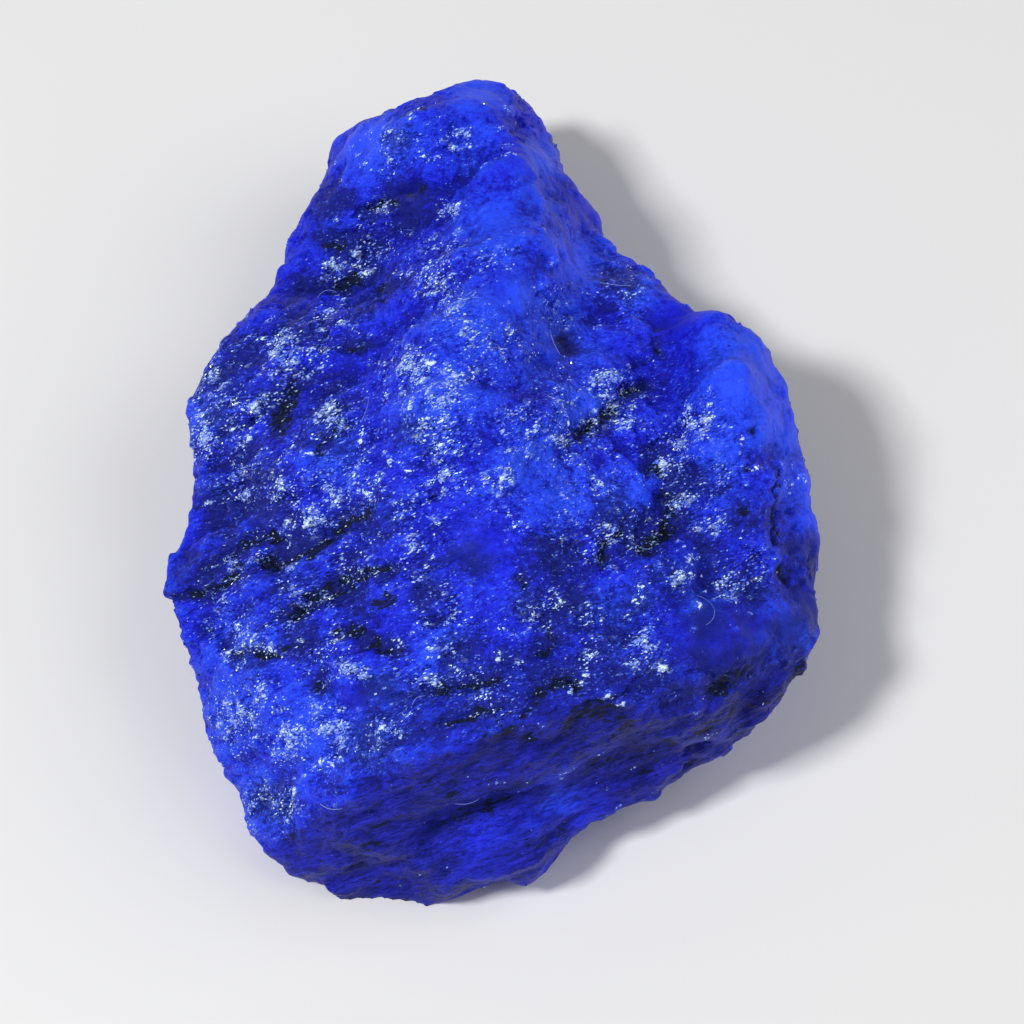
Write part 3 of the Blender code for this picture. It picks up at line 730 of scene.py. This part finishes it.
def sapphire_material(group):
    """Saturated blue corundum with sugary frost, white crystal specks and black mineral stains."""
    # Shade, highlights, glints and a glow are painted into this colour, as marked below.
    material, tree, shader = new_material("sapphire")
    place = millimetres(tree)
    frost = mask(tree, "frost")
    stain = mask(tree, "stain")
    navy_and_shade = mask(tree, "navy_and_shade")
    pale_and_lit = mask(tree, "pale_and_lit")
    knots = mask(tree, "knots")
    crest = mask(tree, "crest")
    smooth = mask(tree, "smooth")
    layers = mask(tree, "layers")
    glow = mask(tree, "glow")
    front = mask(tree, "front")
    clump = mask(tree, "clump")
    # Fine grain, drawn out along the layers where they show.
    grain = mixed(
        tree, layers, texture(tree, place, 0.55, detail=4.0, roughness=0.8),
        texture(tree, along_layers(tree, place, GRAIN_STREAK), 1.0, detail=4.0, roughness=0.8),
    )
    broad = mixed(
        tree, layers, texture(tree, place, 2.4, detail=3.0, roughness=0.6),
        texture(tree, along_layers(tree, place, MOTTLE_STREAK), 1.0, 3.0, 0.6, distortion=0.8),
    )
    offset = minus(tree, grain, 0.5)
    # Body colour: deep in hollows and royal on crests, partly painted shade and highlight, and
    # mottled along the layers and by each crystal.
    coarse = crystal_facets(tree, group, COARSE_CRYSTAL, 1.0)
    fine = crystal_facets(tree, group, FINE_CRYSTAL, 1.0)
    # Grit: each fine crystal is a little darker or paler than the next.
    grit = minus(tree, plus(tree, frost, 0.25), times(tree, smooth, 0.2), clamp=True)
    grit = times(tree, grit, minus(tree, fine["Tone"], 0.5))
    raised = times(tree, minus(tree, crest, 0.5), 0.75)
    depth = plus(tree, times(tree, broad, 0.65), 0.175)
    depth = plus(tree, depth, plus(tree, raised, times(tree, offset, 0.9)))
    depth = plus(tree, depth, times(tree, grit, 0.5))
    depth = mixed(tree, times(tree, smooth, 0.5), depth, 0.47)
    body = blend(tree, ramp(tree, depth, 0.34, 0.66), DEEP_BLUE, ROYAL_BLUE)
    # Paler powdery patches, partly painted light, and a painted highlight on the crests.
    powder_and_highlight = weighted(tree, (pale_and_lit, 0.45), (depth, 0.85), (offset, 0.3))
    body = blend(tree, ramp(tree, powder_and_highlight, 0.48, 0.98), body, POWDER_AND_HIGHLIGHT_BLUE)
    body = blend(tree, times(tree, ramp(tree, powder_and_highlight, 0.90, 1.25), 0.6), body, PALE_POWDER_AND_HIGHLIGHT)
    # Navy mottles, and painted shade in the hollows, the dark patches and the brow.
    gloom = times(tree, navy_and_shade, plus(tree, times(tree, depth, 0.3), 0.34))
    navy_and_shade_share = plus(tree, minus(tree, 1.0, depth), gloom)
    body = blend(tree, times(tree, ramp(tree, navy_and_shade_share, 0.58, 0.98), 0.9), body, NAVY)
    # The fibrous front: dark strands, partly painted shade since the front faces away from the light,
    # and lighter where the painted glow is.
    fibre = texture(tree, along_layers(tree, place, FIBRE_STREAK), 1.0, detail=4.0, distortion=0.6)
    strand = weighted(tree, (fibre, 0.5), (broad, 0.5), (offset, 0.5))
    strands = blend(tree, ramp(tree, strand, 0.38, 0.64), FIBRE_SHADE_DARK, FIBRE_SHADE_BLUE)
    fibre_and_shade_share = times(tree, front, minus(tree, 0.92, times(tree, glow, 0.6)))
    body = blend(tree, fibre_and_shade_share, body, strands)
    # Satin haze where the skin is sugary, and dark pits between the grains, which lie in the bump's
    # low spots and so are partly painted shade.
    sugar = times(tree, frost, plus(tree, times(tree, knots, 0.6), 0.5))
    haze = times(tree, sugar, ramp(tree, plus(tree, broad, offset), 0.36, 0.70))
    haze = maths(tree, "MAXIMUM", times(tree, haze, 0.22), times(tree, clump, 0.20))
    body = blend(tree, haze, body, FROST_BLUE)
    sleek = maths(tree, "MAXIMUM", smooth, times(tree, pale_and_lit, 0.8))
    pits = times(tree, ramp(tree, grain, 0.47, 0.28), minus(tree, 1.0, sleek))
    body = blend(tree, times(tree, pits, 0.85), body, PIT_AND_SHADE_BLUE)
    # Pale crystals: small ones crowd in the clumps and the frost, and larger ones are few. Their white
    # specks are partly painted glints.
    crowd = weighted(tree, (sugar, 0.35), (clump, 0.32), (offset, 0.5), (stain, 0.08))
    thin = times(tree, plus(tree, front, smooth), 0.16)
    speck_and_glint = minus(tree, plus(tree, fine["Tone"], crowd), thin)
    speckle = ramp(tree, speck_and_glint, 0.91, 1.05)
    speck_and_glint = ramp(tree, speck_and_glint, 1.04, 1.07)
    pale = ramp(tree, minus(tree, plus(tree, coarse["Tone"], crowd), thin), 1.0, 1.3)
    specked_and_glinted = blend(tree, times(tree, speckle, 0.5), body, FROST_BLUE)
    specked_and_glinted = blend(tree, times(tree, pale, 0.35), specked_and_glinted, CRYSTAL_WHITE)
    speck_and_glint_colour = blend(tree, ramp(tree, fine["Second Tone"], 0.2, 1.0), FROST_BLUE, CRYSTAL_WHITE)
    specked_and_glinted = blend(tree, speck_and_glint, specked_and_glinted, speck_and_glint_colour)
    # Stains: black mineral with broken edges, and scattered dark grains.
    broken = weighted(tree, (minus(tree, broad, 0.5), 1.4), (offset, 3.6))
    stained = ramp(tree, plus(tree, times(tree, stain, 0.85), broken), 0.50, 0.66)
    near = weighted(tree, (navy_and_shade, 0.14), (frost, 0.16))
    near = minus(tree, near, times(tree, offset, 0.5))
    near = minus(tree, near, times(tree, sleek, 0.16))
    pepper = ramp(tree, plus(tree, fine["Second Tone"], near), 0.94, 1.02)
    dark = maths(tree, "MAXIMUM", stained, times(tree, pepper, 0.6))
    dark = minus(tree, dark, times(tree, speck_and_glint, 0.7), clamp=True)
    colour = blend(tree, times(tree, dark, 0.95), specked_and_glinted, MINERAL_BLACK)
    tree.links.new(colour, shader.inputs["Base Color"])
    # Painted glow: an emission of the body colour stands in for light that seeps through the stone,
    # a little everywhere and most in the glow patches at its thin edges.
    painted_glow = plus(tree, times(tree, glow, 0.8), 0.2)
    painted_glow = times(tree, painted_glow, minus(tree, 1.0, dark))
    tree.links.new(blend(tree, painted_glow, UNLIT, body), shader.inputs["Emission Color"])
    shader.inputs["Emission Strength"].default_value = PAINTED_GLOW_STRENGTH
    # Finish: satin, with glassy crystal faces in the frost that catch the light one by one.
    satin = plus(tree, times(tree, broad, 0.3), 0.40)
    glassy = times(tree, plus(tree, frost, 0.25), 0.28)
    tree.links.new(minus(tree, satin, glassy), shader.inputs["Roughness"])
    keen = minus(tree, plus(tree, frost, 0.35), times(tree, smooth, 0.25))
    facet = crystal_facets(tree, group, GLINT_FACE, times(tree, keen, 0.9))["Normal"]
    rise = mixed(tree, times(tree, front, 0.8), grain, fibre)
    rise = times(tree, rise, minus(tree, 1.2, smooth))
    settings = {"Height": rise, "Strength": 0.9, "Distance": BUMP_HEIGHT * MM, "Normal": facet}
    bump = add_node(tree, "ShaderNodeBump", settings)
    tree.links.new(bump.outputs["Normal"], shader.inputs["Normal"])
    shader.inputs["Specular IOR Level"].default_value = STONE_SPECULAR
    shader.inputs["Specular Tint"].default_value = SPECULAR_BLUE
    return material


def grain_material(group):
    """Clear pale crystals that catch the light."""
    material, tree, shader = new_material("crystal_grain")
    tone = mask(tree, "tone")
    cells = crystal_facets(tree, group, GRAIN_FACE, 0.35)
    clouded = times(tree, tone, ramp(tree, cells["Tone"], 0.0, 0.8))
    tree.links.new(blend(tree, clouded, FROST_BLUE, CRYSTAL_WHITE), shader.inputs["Base Color"])
    tree.links.new(cells["Normal"], shader.inputs["Normal"])
    shader.inputs["Roughness"].default_value = GRAIN_ROUGHNESS
    shader.inputs["IOR"].default_value = CORUNDUM_IOR
    return material


def plain_material(name, colour, roughness):
    material, _, shader = new_material(name)
    shader.inputs["Base Color"].default_value = colour
    shader.inputs["Roughness"].default_value = roughness
    return material


# ---- Crystal grains and lint

# Small pointed grains, of which few are large.
GRAINS = 18000
GRAIN_SIZE = (0.05, 0.32)
GRAIN_RARITY = 3.0
GRAIN_STRETCH = (0.55, 1.25)
GRAIN_SINK = 0.25
LOWEST_SAMPLE = 0.4
OCTAHEDRON = np.array([(1, 0, 0), (-1, 0, 0), (0, 1, 0), (0, -1, 0), (0, 0, 1), (0, 0, -1)], float)
OCTAHEDRON_FACES = np.array(
    [(0, 2, 4), (2, 1, 4), (1, 3, 4), (3, 0, 4), (2, 0, 5), (1, 2, 5), (3, 1, 5), (0, 3, 5)]
)

# Larger pale crystals: those of each listed cluster, and loose ones.
CLUSTER_CROWD = 5.0
CLUSTER_SCATTER = 0.6
CLUSTER_FIRST = (0.5, 0.75)
CLUSTER_OTHERS = (0.2, 0.45)
LOOSE_CRYSTALS = 420
LOOSE_LOWEST = 1.0
CRYSTAL_HALF_SIZE = (0.08, 0.22)
CRYSTAL_SHAPE = np.array([1.2, 0.7, 0.6])
CRYSTAL_LUMPS = (0.7, 1.15)
CRYSTAL_WANDER = 0.35
CRYSTAL_SINK = 0.4
LARGE_CRYSTAL = 0.2
CRYSTAL_TONES = (0.2, 0.9)

# Lint fibres, none of which starts below the lowest height.
LINT_COUNT = 10
LINT_RADIUS = 0.016
LINT_LENGTH = (1.2, 3.2)
LINT_BEND = 1.6
LINT_LIFT = (0.05, 0.2)
LINT_RINGS = 14
LINT_SIDES = 3
LINT_LOWEST = 4.0


def new_piece(name, points, faces, material):
    mesh = bpy.data.meshes.new(name)
    mesh.from_pydata((points * MM).tolist(), [], faces.tolist())
    mesh.materials.append(material)
    mesh.update()
    piece = bpy.data.objects.new(name, mesh)
    bpy.context.scene.collection.objects.link(piece)
    return piece


def repeated(faces, corners, count):
    """The faces of many copies of a shape that has so many corners."""
    return (faces[None] + corners * np.arange(count)[:, None, None]).reshape(-1, 3)


def random_turns(rng, count):
    """Random rotation matrices."""
    turns, _ = np.linalg.qr(rng.normal(size=(count, 3, 3)))
    turns[np.linalg.det(turns) < 0, :, 0] *= -1
    return turns


def skin_samples(skin, weights, count, rng):
    """Random places on the skin with their normals: likelier where the weights are high."""
    faces = skin.data.polygons
    areas = np.array([face.area for face in faces])
    middles = np.array([face.center for face in faces]) / MM
    normals = np.array([face.normal for face in faces])
    first = np.array([face.vertices[0] for face in faces])
    chance = areas * weights[first] * (middles[:, 2] > LOWEST_SAMPLE)
    picked = rng.choice(len(faces), count, p=chance / chance.sum())
    return middles[picked], normals[picked], first[picked]


def build_grains(skin, masks, material):
    """Small pointed crystals, sunk part way into the skin and crowded in the frosted patches."""
    rng = np.random.default_rng(SEED)
    sugared = 0.25 * masks["frost"] ** 1.5 * (0.4 + masks["knots"])
    weights = 0.003 + sugared + 0.8 * masks["clump"] ** 1.5
    middles, normals, first = skin_samples(skin, weights, GRAINS, rng)
    low, high = GRAIN_SIZE
    sizes = low * (high / low) ** (rng.random(GRAINS) ** GRAIN_RARITY)
    stretch = rng.uniform(*GRAIN_STRETCH, (GRAINS, 1, 3)) * sizes[:, None, None] * 0.5
    shapes = (OCTAHEDRON[None] * stretch) @ random_turns(rng, GRAINS)
    centres = middles - normals * (GRAIN_SINK * sizes * 0.5)[:, None]
    points = (shapes + centres[:, None]).reshape(-1, 3)
    points[:, 2] = np.maximum(points[:, 2], 0.0)
    faces = repeated(OCTAHEDRON_FACES, len(OCTAHEDRON), GRAINS)
    grains = new_piece("crystal_grains", points, faces, material)
    bright = rng.random(GRAINS) ** 1.5 * (0.45 + 0.55 * masks["clump"][first])
    store(grains.data, "tone", np.repeat(bright, len(OCTAHEDRON)))
    return grains


def crystal_seats(points, facing, masks, rng):
    """The skin points that carry a larger pale crystal, and half the length of each crystal."""
    places = on_sheet(points)
    seats, sizes = [], []
    for radius, *centre in CRYSTALS:
        for index in range(1 + round(CLUSTER_CROWD * radius)):
            target = np.array(centre) + rng.normal(size=2) * CLUSTER_SCATTER * radius * min(index, 1)
            seats.append(np.argmin(np.linalg.norm(places - target, axis=1) + 9.0 * (facing < 0.2)))
            sizes.append(radius * rng.uniform(*(CLUSTER_OTHERS if index else CLUSTER_FIRST)))
    chance = masks["clump"] ** 2 * (0.2 + masks["frost"]) * (points[:, 2] > LOOSE_LOWEST)
    low, high = CRYSTAL_HALF_SIZE
    seats += rng.choice(len(points), LOOSE_CRYSTALS, p=chance / chance.sum()).tolist()
    sizes += (low + (high - low) * rng.random(LOOSE_CRYSTALS) ** 2.5).tolist()
    return seats, sizes


def build_pale_crystals(skin, masks, material):
    """Larger pale crystals, part sunk in the skin and laid along the layers."""
    rng = np.random.default_rng(SEED + 3)
    points = np.array([vert.co for vert in skin.data.vertices]) / MM
    normals = np.array([vert.normal for vert in skin.data.vertices])
    ball = bmesh.new()
    bmesh.ops.create_icosphere(ball, subdivisions=2, radius=1.0)
    knob = np.array([vert.co for vert in ball.verts])
    knob_faces = np.array([[vert.index for vert in face.verts] for face in ball.faces])
    ball.free()
    seats, sizes = crystal_seats(points, normals @ SHEET_FACING, masks, rng)
    shapes = []
    for seat, size in zip(seats, sizes):
        upright = normals[seat]
        along = LAYER_LINE + CRYSTAL_WANDER * rng.normal(size=3)
        along -= upright * (along @ upright)
        along /= np.linalg.norm(along)
        axes = np.stack([along, np.cross(upright, along), upright])
        lumpy = knob * rng.uniform(*CRYSTAL_LUMPS, (len(knob), 1)) * CRYSTAL_SHAPE * size
        shapes.append(points[seat] - CRYSTAL_SINK * size * upright + lumpy @ axes)
    faces = repeated(knob_faces, len(knob), len(seats))
    crystals = new_piece("pale_crystals", np.concatenate(shapes), faces, material)
    crystals.data.shade_smooth()
    tones = rng.uniform(*CRYSTAL_TONES, len(seats))
    bright = np.where(np.array(sizes) > LARGE_CRYSTAL, CRYSTAL_TONES[1], tones)
    store(crystals.data, "tone", np.repeat(bright, len(knob)))
    return crystals


def build_lint(skin, material):
    """A few fine fibres that lie on the skin."""
    rng = np.random.default_rng(SEED + 1)
    points, faces = [], []
    heights = np.array([vert.co.z for vert in skin.data.vertices]) / MM
    starts, normals, _ = skin_samples(skin, heights > LINT_LOWEST, LINT_COUNT, rng)
    for start, normal in zip(starts, normals):
        along = np.cross(normal, rng.normal(size=3))
        along /= np.linalg.norm(along)
        side = np.cross(normal, along)
        length = rng.uniform(*LINT_LENGTH)
        bend = rng.uniform(-LINT_BEND, LINT_BEND)
        base = len(points)
        for ring in range(LINT_RINGS):
            share = ring / (LINT_RINGS - 1)
            angle = bend * share
            lift = LINT_LIFT[0] + LINT_LIFT[1] * math.sin(math.pi * share)
            run = length * share * (along * math.cos(angle) + side * math.sin(angle))
            centre = start + run + normal * lift
            for corner in range(LINT_SIDES):
                turn = 2 * math.pi * corner / LINT_SIDES
                points.append(centre + LINT_RADIUS * (math.cos(turn) * side + math.sin(turn) * normal))
        for ring in range(LINT_RINGS - 1):
            for corner in range(LINT_SIDES):
                a = base + LINT_SIDES * ring + corner
                b = base + LINT_SIDES * ring + (corner + 1) % LINT_SIDES
                faces += [(a, b, b + LINT_SIDES), (a, b + LINT_SIDES, a + LINT_SIDES)]
        last = base + LINT_SIDES * (LINT_RINGS - 1)
        faces += [(base, base + 2, base + 1), (last, last + 1, last + 2)]
    return new_piece("lint_fibres", np.array(points), np.array(faces), material)


# ---- Stage and camera

CAMERA_TARGET = Vector((1.68, -6.59, 10.0))
CAMERA_DISTANCE = 250.0
VIEW_WIDTH = 77.3

# Metres, watts and light strength.
FLOOR_WIDTH = 1.2
LIGHT_TARGET = Vector((0.0, 0.0, 0.01))
STUDIO_STRENGTH = 0.25


def aim(thing, place, target):
    thing.location = place
    thing.rotation_euler = (place - target).to_track_quat("Z", "Y").to_euler()


def build_floor():
    bpy.ops.mesh.primitive_plane_add(size=FLOOR_WIDTH)
    floor = bpy.context.object
    floor.name = "floor"
    floor.data.materials.append(plain_material("pale_floor", FLOOR_WHITE, roughness=0.8))
    return floor


def add_light(name, place, size, watts):
    light = bpy.data.lights.new(name, "AREA")
    light.size = size
    light.energy = watts
    lamp = bpy.data.objects.new(name, light)
    bpy.context.scene.collection.objects.link(lamp)
    aim(lamp, Vector(place), LIGHT_TARGET)


def build_lights():
    """A high key light from the front left, a soft fill from the right, and a dim sky all round."""
    add_light("key", place=(-0.36, -0.20, 0.57), size=0.12, watts=4.2)
    add_light("fill", place=(0.46, -0.02, 0.46), size=0.5, watts=1.7)
    world = bpy.data.worlds.new("studio")
    world.use_nodes = True
    sky = world.node_tree.nodes["Background"]
    sky.inputs["Color"].default_value = STUDIO_WHITE
    sky.inputs["Strength"].default_value = STUDIO_STRENGTH
    bpy.context.scene.world = world


def build_camera():
    target = CAMERA_TARGET * MM
    facing = Vector(SHEET_FACING)
    lens = bpy.data.cameras.new("camera")
    lens.sensor_width = 36.0
    lens.lens = lens.sensor_width * CAMERA_DISTANCE / VIEW_WIDTH
    lens.clip_start = 0.01
    camera = bpy.data.objects.new("camera", lens)
    bpy.context.scene.collection.objects.link(camera)
    aim(camera, target + facing * CAMERA_DISTANCE * MM, target)
    bpy.context.scene.camera = camera


# ---- Build

crystals = crystal_facets_group()
stone, stone_masks = build_skin(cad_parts[NODE])
stone.data.materials.append(sapphire_material(crystals))
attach(stone, "root")
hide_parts(NODE)

clear_crystal = grain_material(crystals)
for extra in (
    build_grains(stone, stone_masks, clear_crystal),
    build_pale_crystals(stone, stone_masks, clear_crystal),
    build_lint(stone, plain_material("lint", LINT_BLUE, roughness=0.7)),
):
    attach(extra, "root")

build_floor()
build_lights()
build_camera()
bpy.context.scene.view_settings.view_transform = "Standard"
